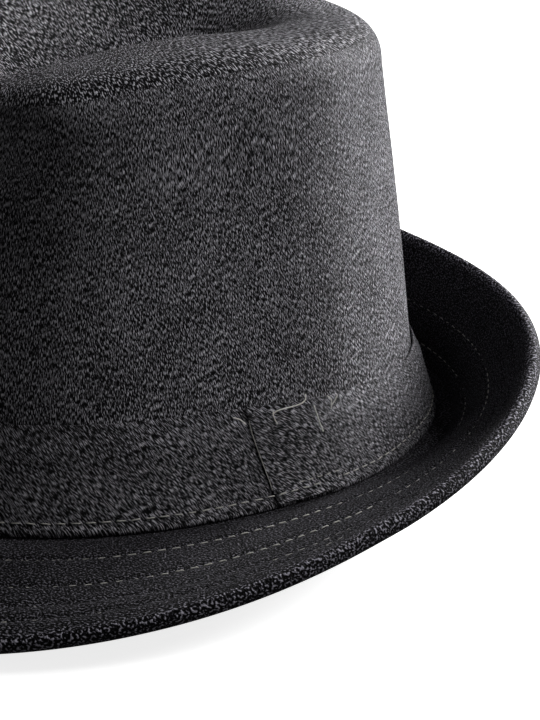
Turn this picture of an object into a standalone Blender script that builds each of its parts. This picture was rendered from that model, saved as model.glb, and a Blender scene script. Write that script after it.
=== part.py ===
"""A cut-and-sewn wool trilby: a short-brimmed fedora, built as its separate sewn layers.

Metres, +Z up, the wearer faces -Y and the wearer's left is +X. The hat rests on z = 0, on the front
of its brim edge and on the back of its headline. Theta runs round the hat from the front, 0, past the
wearer's left, 90 degrees, to the back, 180. Depth is measured inwards from the crown's outer face.
"""

import math

import bmesh
import bpy
import numpy as np

MM = 0.001

# Head opening, at the outer face of the band's foot.
HALF_LENGTH = 0.1018
HALF_WIDTH = 0.088
OVAL_POWER = 2.2
HEADLINE_PITCH = 0.0029
HEADLINE_DIP = -0.00105
BACK_LEDGE = 0.004

# Cloth layers and the clearance that keeps them apart.
GAP = 0.0003
CLOTH = 0.0016
BAND_CLOTH = 0.0020
SIDE_BUCKRAM = 0.0006
LINING = 0.0004
TAPE = 0.0006
SWEATBAND = 0.0010
LABEL = 0.0004
BRIM_CANVAS = 0.0008

# Crown.
CROWN_HEIGHT = 0.116
FRONT_DROP = 0.010
FOOT_FLARE = 0.0042
FLARE_HEIGHT = 0.025
WALL_LEAN = 0.125
WALL_LEAN_GROWTH = 0.2
SHOULDER_RADIUS = 0.012
DENT_DEPTH = 0.022
DENT_FRONT = -0.066
DENT_BACK = 0.052
DENT_HALF_WIDTH = 0.046
PINCH_DEPTH = 0.010
PINCH_ANGLE = math.radians(36)
PINCH_SPREAD = math.radians(15)
PINCH_LOW = 0.035
PINCH_HIGH = 0.098

# Band and keeper.
BAND_HEIGHT = 0.0275
BAND_BACK_DROP = 0.006
KEEPER_WIDTH = 0.022
KEEPER_CLOTH = 0.0014
KEEPER_ANGLE = math.radians(91)
KEEPER_FOOT = 0.0016
KEEPER_OVERLAP = 0.0012

# Brim: width round the hat, its slope where it leaves the crown and its slope at the edge.
BRIM_WIDTH = (0.0409, 0.0068)
ROOT_SLOPE = (30.2, -40.1, 15.4)
EDGE_SLOPE = (9.2, -48.0, -9.2)
SLOPE_POWER = 2.35
LIP_START = 0.6
CANVAS_END = 0.91
CANVAS_ROOM = 0.01

# Inside the crown. The flat lining tip hangs a little below the crown's dent.
LINING_DROP = 0.014
LINING_FOOT = 0.002
TAPE_LOW = 0.001
TAPE_HEIGHT = 0.012
SWEATBAND_HEIGHT = 0.034
SWEATBAND_BELOW = 0.0032
LABEL_WIDTH = 0.030
LABEL_LOW = 0.010
LABEL_HIGH = 0.028

# How finely the faces are drawn.
SECTIONS = 48
LINED_STEPS = 7
UNLINED_STEPS = 2
SLOPE_STEPS = 200
LIP_TURNS = (60, 30, 4)
BRIM_SHARES = (0, 0.12, 0.27, 0.42, 0.57, 0.72, 0.86)
NUDGE = 0.02
TOP_SHARES = (0.16, 0.33, 0.50, 0.68, 0.84, 1)
SEAM_ANGLE = math.radians(97.5)
TIP_SEAM = math.radians(44)

BRIM_HALF = BRIM_CANVAS / 2 + GAP + CLOTH
BAND_STACK = BAND_CLOTH + GAP
BUCKRAM_DEPTH = CLOTH + GAP
LINING_DEPTH = BUCKRAM_DEPTH + SIDE_BUCKRAM + GAP
TAPE_DEPTH = LINING_DEPTH + LINING + GAP
SWEATBAND_DEPTH = TAPE_DEPTH + TAPE + GAP
LABEL_DEPTH = SWEATBAND_DEPTH + SWEATBAND + 2 * GAP
LINING_HEIGHT = CROWN_HEIGHT - DENT_DEPTH - LINING_DROP


def smooth(low, high, x):
    """0 below low, 1 above high, and an easy slope between."""
    f = np.clip((x - low) / (high - low), 0, 1)
    return f * f * (3 - 2 * f)


def waves(terms, theta):
    """Size at theta of a value that is given as its mean, its front-to-back wave and its side wave."""
    return sum(term * np.cos(k * theta) for k, term in enumerate(terms))


def oval(theta):
    """The head opening's outline, as x and y."""
    s, c = np.sin(theta), np.cos(theta)
    x = HALF_WIDTH * np.sign(s) * np.abs(s) ** (2 / OVAL_POWER)
    y = -HALF_LENGTH * np.sign(c) * np.abs(c) ** (2 / OVAL_POWER)
    return np.stack([x, y], -1)


def oval_normal(theta):
    """The outline's outward direction."""
    along = oval(theta + NUDGE) - oval(theta - NUDGE)
    out = np.stack([along[..., 1], -along[..., 0]], -1)
    return out / np.linalg.norm(out, axis=-1, keepdims=True)


def headline(theta):
    """Height of the brim's top face where it meets the crown."""
    return HEADLINE_PITCH * np.cos(theta) + HEADLINE_DIP * np.cos(2 * theta)


def turn_from_front(theta):
    """Angle from the front, 0 to pi, on either side."""
    return np.abs((theta + math.pi) % (2 * math.pi) - math.pi)


def back_ledge(theta):
    """How far the crown's foot stands in from the brim's bend, which turns up closely behind."""
    return BACK_LEDGE * smooth(math.radians(95), math.radians(130), turn_from_front(theta))


def wall_inset(h):
    """How far the crown's wall stands in from the head opening at a height; it is upright below its foot."""
    h = np.maximum(h, 0)
    flare = FOOT_FLARE * (1 - np.maximum(1 - h / FLARE_HEIGHT, 0) ** 2)
    return BAND_STACK + flare + WALL_LEAN * h + WALL_LEAN_GROWTH * h * h


def front_drop(theta, h):
    """How far the top of the crown comes down towards the front. The wall below the lining's top is level."""
    front = 1 - smooth(math.radians(30), math.radians(95), turn_from_front(theta))
    return FRONT_DROP * front * smooth(LINING_HEIGHT, CROWN_HEIGHT - SHOULDER_RADIUS, h)


def band_height(theta):
    """Height of the band, which narrows towards the back."""
    return BAND_HEIGHT - BAND_BACK_DROP * smooth(math.radians(90), math.radians(150), turn_from_front(theta))


def pinch(theta, h):
    """The two finger dents at the front of the crown."""
    away = (turn_from_front(theta) - PINCH_ANGLE) / PINCH_SPREAD
    return PINCH_DEPTH * np.exp(-away * away) * smooth(PINCH_LOW, PINCH_HIGH, h)


def top_dent(x, y):
    """Depth of the teardrop crease along the top of the crown, narrow at its front."""
    along = np.clip((y - DENT_FRONT) / (DENT_BACK - DENT_FRONT), 0, 1)
    wide = DENT_HALF_WIDTH * (0.5 + 0.5 * along)
    from_middle = np.hypot(x / wide, (2 * y - DENT_FRONT - DENT_BACK) / (DENT_BACK - DENT_FRONT))
    return DENT_DEPTH * (1 - smooth(0.30, 1.12, from_middle))


def crown_face(theta, rows):
    """The crown's outer face: a grid with one line of points up the wall and over the top for each theta.

    A row is ("wall", height), ("band", share of the band's height), ("shoulder", angle turned) or
    ("top", share of the way to the middle).
    """
    shoulder_foot = CROWN_HEIGHT - SHOULDER_RADIUS
    lines = []
    for kind, value in rows:
        turned = value if kind == "shoulder" else (math.pi / 2 if kind == "top" else 0.0)
        h = shoulder_foot + SHOULDER_RADIUS * math.sin(turned)
        if kind == "wall":
            h = value
        if kind == "band":
            h = value * band_height(theta)
        inset = wall_inset(np.minimum(h, shoulder_foot)) + SHOULDER_RADIUS * (1 - math.cos(turned))
        inset = inset + back_ledge(theta) + pinch(theta, h)
        flat = oval(theta) - oval_normal(theta) * inset[..., None]
        tilt = headline(theta) - front_drop(theta, h)
        if kind == "top":
            flat = flat * (1 - value)
            tilt = tilt * (1 - value)
        z = tilt + h - top_dent(flat[..., 0], flat[..., 1]) * smooth(0, math.pi / 2, turned)
        lines.append(np.concatenate([flat, z[..., None]], -1))
    return np.stack(lines, 1)


def crown_normals(theta, rows):
    """The crown's outward direction at each point of crown_face."""
    nudge = {"wall": MM / 2, "band": NUDGE, "shoulder": NUDGE, "top": NUDGE / 2}
    lower = [(kind, value - nudge[kind]) for kind, value in rows]
    upper = [(kind, value + nudge[kind]) for kind, value in rows]
    up = crown_face(theta, upper) - crown_face(theta, lower)
    round_hat = crown_face(theta + NUDGE, rows) - crown_face(theta - NUDGE, rows)
    out = np.cross(round_hat, up)
    out[:, [row == ("top", 1) for row in rows]] = (0, 0, 1)
    return out / np.linalg.norm(out, axis=-1, keepdims=True)


def wall_rows(low, high):
    """Rows up the wall. All layers share the heights between their ends, so that they stay nested."""
    lined = np.linspace(0, LINING_HEIGHT, LINED_STEPS + 1)
    unlined = np.linspace(LINING_HEIGHT, CROWN_HEIGHT - SHOULDER_RADIUS, UNLINED_STEPS + 1)
    between = [h for h in (*lined, *unlined[1:]) if low + MM < h < high - MM]
    return [("wall", float(h)) for h in (low, *between, high)]


def thick_sheet(name, outer, inner, closed, pole=False):
    """A closed solid between two faces, each a grid of points round the hat and up it."""
    mesh = bmesh.new()
    count = len(outer)

    def add_face_points(grid):
        columns = grid.shape[1] - (1 if pole else 0)
        points = [[mesh.verts.new(p) for p in line[:columns]] for line in grid]
        if pole:
            middle = mesh.verts.new(grid[:, -1].mean(axis=0))
            for line in points:
                line.append(middle)
        return points

    out_points, in_points = add_face_points(outer), add_face_points(inner)
    spans = [(i, (i + 1) % count) for i in range(count if closed else count - 1)]

    def join(corners):
        distinct = []
        for corner in corners:
            if corner not in distinct:
                distinct.append(corner)
        mesh.faces.new(distinct)

    for points in (out_points, in_points):
        for a, b in spans:
            for j in range(len(points[a]) - 1):
                join([points[a][j], points[b][j], points[b][j + 1], points[a][j + 1]])
    for a, b in spans:
        join([out_points[a][0], out_points[b][0], in_points[b][0], in_points[a][0]])
        if not pole:
            join([out_points[a][-1], out_points[b][-1], in_points[b][-1], in_points[a][-1]])
    if not closed:
        for end in (0, count - 1):
            for j in range(len(out_points[end]) - 1):
                join([out_points[end][j], out_points[end][j + 1], in_points[end][j + 1], in_points[end][j]])
    bmesh.ops.recalc_face_normals(mesh, faces=mesh.faces)
    data = bpy.data.meshes.new(name)
    mesh.to_mesh(data)
    mesh.free()
    data.shade_smooth()
    data.set_sharp_from_angle(angle=math.radians(40))
    piece = bpy.data.objects.new(name, data)
    bpy.context.collection.objects.link(piece)
    return piece


def crown_layer(name, theta, rows, depth, thickness, closed, pole=False, level_foot=True):
    """A piece of the crown, its outer face at a depth below the crown's own face."""
    face = crown_face(theta, rows)
    out = crown_normals(theta, rows)
    if level_foot and rows[0][0] in ("wall", "band"):
        # The foot is cut level, so that it stands on the brim.
        out[:, 0, 2] = 0
        out[:, 0] /= np.linalg.norm(out[:, 0], axis=-1, keepdims=True)
    return thick_sheet(name, face - out * depth, face - out * (depth + thickness), closed, pole)


def brim_section(theta, shares, level):
    """Points of one brim layer at one theta, from its inner edge to the shares of the brim's width.

    Level is the height above the brim's middle layer, measured square to the cloth.
    """
    width = waves(BRIM_WIDTH, theta)
    root, edge = (math.radians(waves(slope, theta)) for slope in (ROOT_SLOPE, EDGE_SLOPE))
    steps = (np.arange(SLOPE_STEPS) + 0.5) / SLOPE_STEPS
    slopes = root + (edge - root) * steps**SLOPE_POWER
    out_run = np.concatenate([[0], np.cumsum(np.cos(slopes))]) * width / SLOPE_STEPS
    rise = np.concatenate([[0], np.cumsum(np.sin(slopes))]) * width / SLOPE_STEPS
    knots = np.linspace(0, 1, SLOPE_STEPS + 1)

    points = []
    inner_edge = -(BAND_STACK + TAPE_DEPTH - GAP + back_ledge(theta))
    points.append((inner_edge, level - BRIM_HALF))
    for share in shares:
        slope = root + (edge - root) * share**SLOPE_POWER
        square = 1.0
        if share == 0:
            slope = root / 2
            square = 1 / math.cos(slope)
        lift = (BRIM_HALF * smooth(LIP_START, 1, share) - BRIM_HALF + level) * square
        r = np.interp(share, knots, out_run) - math.sin(slope) * lift
        z = np.interp(share, knots, rise) + math.cos(slope) * lift
        points.append((r, z))
    return points, edge


def place_section(theta, points):
    """Brim points, given as distance out from the head opening and height, put in space at theta."""
    start, out = oval(theta), oval_normal(theta)
    z0 = headline(theta)
    return [(*(start + out * r), z0 + z) for r, z in points]


def all_round():
    return np.arange(SECTIONS) * 2 * math.pi / SECTIONS


def brim_cloth(name, side):
    """The brim's upper (side 1) or lower (side -1) cloth, which turns half way round the lip."""
    face_level = side * BRIM_HALF
    back_level = side * (BRIM_CANVAS / 2 + GAP)
    seam_level = side * GAP / 2
    faces, backs = [], []
    for theta in all_round():
        face, edge = brim_section(theta, (*BRIM_SHARES, 1), face_level)
        lip_middle = np.array(brim_section(theta, (1,), 0)[0][-1])
        along = np.array([math.cos(edge), math.sin(edge)])
        square = np.array([-math.sin(edge), math.cos(edge)])
        for turn in LIP_TURNS:
            a = math.radians(turn)
            reach = along * math.cos(a) + side * square * math.sin(a)
            face.append(tuple(lip_middle + reach * BRIM_HALF))
        back = brim_section(theta, (*BRIM_SHARES, CANVAS_END + CANVAS_ROOM), back_level)[0]
        back += brim_section(theta, (CANVAS_END + 3 * CANVAS_ROOM, 1), seam_level)[0][1:]
        faces.append(place_section(theta, face))
        backs.append(place_section(theta, back))
    return thick_sheet(name, np.array(faces), np.array(backs), closed=True)


def brim_canvas(name):
    """The stiff canvas between the brim's two cloths, which stops short of the lip."""
    shares = (*BRIM_SHARES, CANVAS_END)
    layers = []
    for side in (1, -1):
        level = side * BRIM_CANVAS / 2
        sections = [place_section(t, brim_section(t, shares, level)[0]) for t in all_round()]
        layers.append(np.array(sections))
    return thick_sheet(name, layers[0], layers[1], closed=True)


def angle_span(middle, width, h):
    """The thetas of a piece of a given width, centred on the crown at a height."""
    ends = crown_face(np.array([middle - NUDGE, middle + NUDGE]), [("wall", h)])[:, 0]
    per_radian = np.linalg.norm(ends[1] - ends[0]) / (2 * NUDGE)
    half = width / 2 / per_radian
    return np.linspace(middle - half, middle + half, 5)


def panel_thetas(first, last):
    """Thetas of a side panel: the whole ring's own, and two ends held back from the seams."""
    hold = GAP / 2 / HALF_LENGTH
    step = 2 * math.pi / SECTIONS
    ring = np.arange(math.floor(first / step), math.ceil(last / step) + 1) * step
    inner = ring[(ring > first + step / 3) & (ring < last - step / 3)]
    return np.concatenate([[first + hold], inner, [last - hold]])


def finish(name, hex_colour, roughness):
    """A plain cloth finish."""
    material = bpy.data.materials.new(name)
    material.use_nodes = True
    srgb = [int(hex_colour[i : i + 2], 16) / 255 for i in (0, 2, 4)]
    linear = [c / 12.92 if c <= 0.04045 else ((c + 0.055) / 1.055) ** 2.4 for c in srgb]
    shader = material.node_tree.nodes["Principled BSDF"]
    shader.inputs["Base Color"].default_value = (*linear, 1)
    shader.inputs["Roughness"].default_value = roughness
    return material


def tip_rows(seam):
    """Rows from the tip's seam over the shoulder to the middle of the top."""
    rows = [("shoulder", seam), ("shoulder", (seam + math.pi / 2) / 2), ("shoulder", math.pi / 2)]
    return rows + [("top", share) for share in TOP_SHARES]


def crown_pieces():
    """The wool crown: a front and a back side panel, seamed over the ears, and the tip on top."""
    panel = wall_rows(GAP, CROWN_HEIGHT - SHOULDER_RADIUS)
    panel += [("shoulder", TIP_SEAM / 2), ("shoulder", TIP_SEAM)]
    front = panel_thetas(-SEAM_ANGLE, SEAM_ANGLE)
    back = panel_thetas(SEAM_ANGLE, 2 * math.pi - SEAM_ANGLE)
    tip = tip_rows(TIP_SEAM + GAP / SHOULDER_RADIUS)
    return {
        "crown_front_panel": crown_layer("crown_front_panel", front, panel, 0, CLOTH, closed=False),
        "crown_back_panel": crown_layer("crown_back_panel", back, panel, 0, CLOTH, closed=False),
        "crown_tip": crown_layer("crown_tip", all_round(), tip, 0, CLOTH, closed=True, pole=True),
    }


def stiffener_pieces():
    """Buckram fused behind the crown's wool, in a side piece and a tip piece, and the brim's canvas."""
    side = wall_rows(GAP, CROWN_HEIGHT - SHOULDER_RADIUS) + [("shoulder", TIP_SEAM / 2)]
    tip = tip_rows(TIP_SEAM)
    return {
        "side_stiffener": crown_layer(
            "side_stiffener", all_round(), side, BUCKRAM_DEPTH, SIDE_BUCKRAM, closed=True
        ),
        "tip_stiffener": crown_layer(
            "tip_stiffener", all_round(), tip, BUCKRAM_DEPTH, SIDE_BUCKRAM, closed=True, pole=True
        ),
        "brim_stiffener": brim_canvas("brim_stiffener"),
    }


def band_pieces():
    """The self-cloth band round the crown's foot, and the keeper that covers its join."""
    rows = [("band", share) for share in (GAP / BAND_HEIGHT, 0.25, 0.50, 0.75, 1)]
    keeper_rows = wall_rows(KEEPER_FOOT, BAND_HEIGHT + KEEPER_OVERLAP)
    span = angle_span(KEEPER_ANGLE, KEEPER_WIDTH, BAND_HEIGHT / 2)
    keeper_depth = -(BAND_STACK + GAP + KEEPER_CLOTH)
    return {
        "hat_band": crown_layer("hat_band", all_round(), rows, -BAND_STACK, BAND_CLOTH, closed=True),
        "band_keeper": crown_layer(
            "band_keeper", span, keeper_rows, keeper_depth, KEEPER_CLOTH, closed=False, level_foot=False
        ),
    }


def lining_pieces():
    """The satin lining: a side piece and a flat oval tip that hangs under the crown's dent."""
    side = wall_rows(LINING_FOOT, LINING_HEIGHT)
    lining_side = crown_layer("lining_side", all_round(), side, LINING_DEPTH, LINING, closed=True)
    edge = crown_face(all_round(), [("wall", LINING_HEIGHT)])
    out = crown_normals(all_round(), [("wall", LINING_HEIGHT)])
    rim = (edge - out * (LINING_DEPTH + LINING + GAP))[:, 0]
    top = rim.copy()
    top[:, 2] = LINING_HEIGHT
    bottom = top - (0, 0, LINING)
    flat = [np.stack([ring, ring * (0, 0, 1)], 1) for ring in (top, bottom)]
    lining_tip = thick_sheet("lining_tip", flat[0], flat[1], closed=True, pole=True)
    return {"lining_side": lining_side, "lining_tip": lining_tip}


def headline_pieces():
    """What is sewn in round the head opening: a seam tape, the sweatband over it and a blank label."""
    tape = wall_rows(TAPE_LOW, TAPE_HEIGHT)
    band = wall_rows(-SWEATBAND_BELOW, SWEATBAND_HEIGHT)
    label = wall_rows(LABEL_LOW, LABEL_HIGH)
    label_span = angle_span(math.pi, LABEL_WIDTH, LABEL_LOW)
    return {
        "headline_tape": crown_layer("headline_tape", all_round(), tape, TAPE_DEPTH, TAPE, closed=True),
        "sweatband": crown_layer(
            "sweatband", all_round(), band, SWEATBAND_DEPTH, SWEATBAND, closed=True
        ),
        "care_label": crown_layer(
            "care_label", label_span, label, LABEL_DEPTH, LABEL, closed=False, level_foot=False
        ),
    }


def main():
    for old in list(bpy.data.objects):
        bpy.data.objects.remove(old, do_unlink=True)
    pieces = crown_pieces()
    pieces |= stiffener_pieces()
    pieces |= band_pieces()
    pieces |= lining_pieces()
    pieces |= headline_pieces()
    pieces["brim_top"] = brim_cloth("brim_top", 1)
    pieces["brim_under"] = brim_cloth("brim_under", -1)

    wool = finish("charcoal wool", "3A393C", 0.9)
    buckram = finish("buckram", "D8D2C4", 0.9)
    satin = finish("black satin", "1A1A1E", 0.35)
    twill = finish("black cotton twill", "202024", 0.8)
    white_tape = finish("label satin", "C9C8C4", 0.5)
    looks = {
        "side_stiffener": buckram,
        "tip_stiffener": buckram,
        "brim_stiffener": buckram,
        "lining_side": satin,
        "lining_tip": satin,
        "headline_tape": twill,
        "sweatband": twill,
        "care_label": white_tape,
    }
    # The brim is the hat's widest and lowest part, so it sets where the hat stands.
    brim = [v.co for name in ("brim_top", "brim_under") for v in pieces[name].data.vertices]
    front, back = min(co.y for co in brim), max(co.y for co in brim)
    stand = bpy.data.objects.new("stand", None)
    bpy.context.collection.objects.link(stand)
    stand.location = (0, -(front + back) / 2, -min(co.z for co in brim))
    for name, piece in pieces.items():
        piece.data.materials.append(looks.get(name, wool))
        piece.parent = stand
    bpy.context.view_layer.update()


main()
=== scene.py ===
# %% [markdown]
# # A brushed-wool fedora, sewn from cloth
# This hat is not pressed from felt. Wool cloth is cut to panels, fused to buckram, sewn together and
# steamed over a wooden block. The script does the same: each piece starts as a flat grid, is laid on
# the block's curved face and gets its thickness, rounded edges, puckers and stitches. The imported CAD
# model comes first, because it fixes where every layer lies.

# %% Load the frame
import math

import bpy
import numpy as np
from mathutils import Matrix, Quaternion, Vector, noise


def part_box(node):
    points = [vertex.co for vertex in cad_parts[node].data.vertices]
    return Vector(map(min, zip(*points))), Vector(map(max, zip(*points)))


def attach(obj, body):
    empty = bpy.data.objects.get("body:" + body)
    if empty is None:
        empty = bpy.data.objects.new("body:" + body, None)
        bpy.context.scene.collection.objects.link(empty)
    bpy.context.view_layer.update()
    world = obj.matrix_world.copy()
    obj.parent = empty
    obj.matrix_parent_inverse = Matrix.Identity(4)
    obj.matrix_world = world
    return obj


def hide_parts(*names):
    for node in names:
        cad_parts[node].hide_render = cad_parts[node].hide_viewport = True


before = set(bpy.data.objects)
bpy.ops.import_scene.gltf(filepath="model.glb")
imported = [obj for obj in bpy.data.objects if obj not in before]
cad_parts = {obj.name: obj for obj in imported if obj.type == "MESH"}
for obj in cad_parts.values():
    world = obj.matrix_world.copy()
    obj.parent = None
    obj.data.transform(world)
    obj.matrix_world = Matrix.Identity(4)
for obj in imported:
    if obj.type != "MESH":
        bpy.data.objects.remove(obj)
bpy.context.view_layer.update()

MM = 0.001
RNG = np.random.default_rng(58)
for thing in bpy.context.selected_objects:
    thing.select_set(False)

# %% [markdown]
# ## The block
# A hatter's block decides the crown: an oval at the foot, walls that lean in, a rounded shoulder, two
# finger dents at the front and a teardrop crease on top. Angles run round the hat from the front, past
# the wearer's left at 90 degrees. The sizes are the hat's own, and its place is read from the frame.

# %% The block's sizes
HALF_LENGTH, HALF_WIDTH, OVAL_POWER = 0.1018, 0.088, 2.2
HEADLINE_PITCH, HEADLINE_DIP, BACK_LEDGE = 0.0029, -0.00105, 0.004
CLOTH, BAND_CLOTH, GAP = 0.0016, 0.0020, 0.0003
CROWN_HEIGHT, SHOULDER, FRONT_DROP = 0.116, 0.012, 0.010
FOOT_FLARE, FLARE_HEIGHT, LEAN, LEAN_GROWTH = 0.0042, 0.025, 0.125, 0.2
DENT_DEPTH, DENT_FRONT, DENT_BACK, DENT_WIDE = 0.022, -0.066, 0.052, 0.046
PINCH_DEPTH, PINCH_AT, PINCH_SPREAD = 0.010, math.radians(36), math.radians(15)
LINING_HEIGHT = 0.080
SEAM_AT = math.radians(97.5)
SHOULDER_FOOT = CROWN_HEIGHT - SHOULDER
TOP_START = SHOULDER_FOOT + SHOULDER * math.pi / 2
TOP_RUN = 0.070
STAND = np.array([
    0,
    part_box("hat_band")[0].y + HALF_LENGTH,
    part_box("lining_tip")[1].z - LINING_HEIGHT,
])
print("block stands at", (STAND / MM).round(1), "mm")

# %% The block's face
def smooth(low, high, x):
    f = np.clip((x - low) / (high - low), 0, 1)
    return f * f * (3 - 2 * f)


def from_front(theta):
    return np.abs((theta + math.pi) % (2 * math.pi) - math.pi)


def oval(theta):
    s, c = np.sin(theta), np.cos(theta)
    x = HALF_WIDTH * np.sign(s) * np.abs(s) ** (2 / OVAL_POWER)
    y = -HALF_LENGTH * np.sign(c) * np.abs(c) ** (2 / OVAL_POWER)
    return np.stack([x, y], -1)


def oval_out(theta):
    along = oval(theta + 0.02) - oval(theta - 0.02)
    out = np.stack([along[..., 1], -along[..., 0]], -1)
    return out / np.linalg.norm(out, axis=-1, keepdims=True)


def headline(theta):
    return HEADLINE_PITCH * np.cos(theta) + HEADLINE_DIP * np.cos(2 * theta)


def crown(theta, climb):
    """Point on the crown's face: climb runs up the wall, round the shoulder and in over the top."""
    wall = np.minimum(climb, SHOULDER_FOOT)
    turn = np.clip((climb - SHOULDER_FOOT) / SHOULDER, 0, math.pi / 2)
    share = np.clip((climb - TOP_START) / TOP_RUN, 0, 1)
    h = wall + SHOULDER * np.sin(turn)
    up = np.maximum(wall, 0)
    flare = FOOT_FLARE * (1 - np.maximum(1 - up / FLARE_HEIGHT, 0) ** 2)
    inset = BAND_CLOTH + GAP + flare + LEAN * up + LEAN_GROWTH * up * up + SHOULDER * (1 - np.cos(turn))
    inset = inset + BACK_LEDGE * smooth(math.radians(95), math.radians(130), from_front(theta))
    pinched = np.exp(-(((from_front(theta) - PINCH_AT) / PINCH_SPREAD) ** 2)) * smooth(0.035, 0.098, h)
    inset = inset + PINCH_DEPTH * pinched
    flat = (oval(theta) - oval_out(theta) * inset[..., None]) * (1 - share)[..., None]
    front = 1 - smooth(math.radians(30), math.radians(95), from_front(theta))
    drop = FRONT_DROP * front * smooth(LINING_HEIGHT, SHOULDER_FOOT, h)
    x, y = flat[..., 0], flat[..., 1]
    wide = DENT_WIDE * (0.5 + 0.5 * np.clip((y - DENT_FRONT) / (DENT_BACK - DENT_FRONT), 0, 1))
    middle = np.hypot(x / wide, (2 * y - DENT_FRONT - DENT_BACK) / (DENT_BACK - DENT_FRONT))
    dent = DENT_DEPTH * (1 - smooth(0.30, 1.12, middle)) * smooth(0, math.pi / 2, turn)
    z = h + (headline(theta) - drop) * (1 - share) - dent
    return np.stack([x, y, z], -1) + STAND


def facing(face, a, b, step_a, step_b):
    """The outward direction of a face at a and b, from its slope both ways."""
    along = face(a + step_a, b) - face(a - step_a, b)
    up = face(a, b + step_b) - face(a, b - step_b)
    out = np.cross(along, up)
    length = np.linalg.norm(out, axis=-1, keepdims=True)
    return np.where(length > 1e-13, out / np.maximum(length, 1e-13), (0, 0, 1.0))


def crown_out(theta, climb):
    return facing(crown, theta, np.minimum(climb, TOP_START + TOP_RUN * 0.99), 0.01, 0.0004)


# %% [markdown]
# ## The brim
# The brim is two cloths with canvas between. It leaves the crown at one slope and ends at another: down
# at the front, and steeply up at the back. Adding up small steps along that changing slope gives its
# curve, as a strip of stiff cloth would bend.

# %% The brim's face
BRIM_WIDTH, ROOT_SLOPE, EDGE_SLOPE = (0.0409, 0.0068), (30.2, -40.1, 15.4), (9.2, -48.0, -9.2)
SLOPE_POWER, LIP_START, BEND, LIP_POWER = 2.35, 0.6, 0.03, 3.0
BRIM_HALF = 0.0023
SIDE_LEVEL = BRIM_HALF - CLOTH / 2
BRIM_STEPS = 400


def waves(terms, theta):
    return sum(term * np.cos(k * theta) for k, term in enumerate(terms))


def brim(theta, share, level):
    """Point of the brim: share of its width, past 1 round the lip by an angle, level above its middle."""
    t = np.clip(share, 0, 1)
    steps = (np.arange(BRIM_STEPS) + 0.5) / BRIM_STEPS
    root, edge = np.radians(waves(ROOT_SLOPE, theta)), np.radians(waves(EDGE_SLOPE, theta))
    line = theta[:, :1]
    root1, edge1 = np.radians(waves(ROOT_SLOPE, line)), np.radians(waves(EDGE_SLOPE, line))
    slopes = (root1 + (edge1 - root1) * steps**SLOPE_POWER) * smooth(0, BEND, steps)
    size = waves(BRIM_WIDTH, line) / BRIM_STEPS
    nothing = np.zeros_like(line)
    runs = np.concatenate([nothing, np.cumsum(np.cos(slopes), 1)], 1) * size
    rises = np.concatenate([nothing, np.cumsum(np.sin(slopes), 1)], 1) * size
    at = t * BRIM_STEPS
    low = np.minimum(at.astype(int), BRIM_STEPS - 1)
    part = at - low
    row = np.arange(len(theta))[:, None]
    r = runs[row, low] * (1 - part) + runs[row, low + 1] * part
    z = rises[row, low] * (1 - part) + rises[row, low + 1] * part
    slope = (root + (edge - root) * t**SLOPE_POWER) * smooth(0, BEND, t)
    lift = BRIM_HALF * (smooth(LIP_START, 1, t) - 1)
    turned = np.clip(share - 1, 0, math.pi)
    up = level * np.sign(np.cos(turned)) * np.abs(np.cos(turned)) ** (2 / LIP_POWER)
    out = abs(level) * np.sin(turned) ** (2 / LIP_POWER)
    inward = np.minimum(share, 0) * waves(BRIM_WIDTH, theta)
    r = r - np.sin(slope) * (lift + up) + np.cos(slope) * out + inward
    z = z + np.cos(slope) * (lift + up) + np.sin(slope) * out
    flat = oval(theta) + oval_out(theta) * r[..., None]
    return np.concatenate([flat, (headline(theta) + z)[..., None]], -1) + STAND


# %% [markdown]
# ## From a flat grid to a sewn piece
# Every piece is cloth: thin, with edges that are rounded because they are folded. One function lays a
# grid on a face, lays a second one behind it, lets both meet in a round edge and welds them there.
# The UV map is in metres along the cloth, so that the nap runs with the cloth and not through it.

# %% Lay a piece on the block
def spaced(low, high, count, edge):
    """Places from low to high, with a few close together at both ends for the rounded edge."""
    turn = np.array([0, 0.05, 0.16, 0.34, 0.6, 1.0]) * edge
    turn = np.append(turn, edge + 0.1 * MM * min(1, (high - low) / 0.01))
    inner = np.linspace(low + turn[-1], high - turn[-1], count)
    return np.concatenate([low + turn[:-1], inner, (high - turn[:-1])[::-1]])


def edge_round(places, radius, ends=(True, True)):
    """Share of the full thickness at each place, which falls round to nothing at a free end."""
    share = np.ones(len(places))
    for free, far in zip(ends, (places - places[0], places[-1] - places)):
        if free:
            near = np.clip(far / radius, 0, 1)
            share *= np.sqrt(np.maximum(1 - (1 - near) ** 2, 0))
    return share


def select_all():
    bpy.ops.object.mode_set(mode="EDIT")
    bpy.ops.mesh.select_all(action="SELECT")


def laid_grid(name, points, uv):
    """A grid primitive whose vertices are moved to points, an array of columns by rows."""
    columns, rows = points.shape[:2]
    bpy.ops.object.select_all(action="DESELECT")
    bpy.ops.mesh.primitive_grid_add(x_subdivisions=columns - 1, y_subdivisions=rows - 1, size=1)
    piece = bpy.context.object
    piece.name = piece.data.name = name
    mesh = piece.data
    mesh.vertices.foreach_set("co", points.transpose(1, 0, 2).astype(np.float32).ravel())
    corner = np.zeros(len(mesh.loops), np.int32)
    mesh.loops.foreach_get("vertex_index", corner)
    flat = uv.transpose(1, 0, 2).reshape(-1, 2)[corner]
    mesh.uv_layers[0].name = "cloth"
    mesh.uv_layers[0].data.foreach_set("uv", flat.astype(np.float32).ravel())
    mesh.update()
    return piece


def weld(piece, distance=2e-6):
    bpy.ops.object.select_all(action="DESELECT")
    piece.select_set(True)
    bpy.context.view_layer.objects.active = piece
    select_all()
    bpy.ops.mesh.remove_doubles(threshold=distance)
    bpy.ops.mesh.normals_make_consistent(inside=False)
    bpy.ops.object.mode_set(mode="OBJECT")
    bpy.ops.object.shade_smooth()


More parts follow.
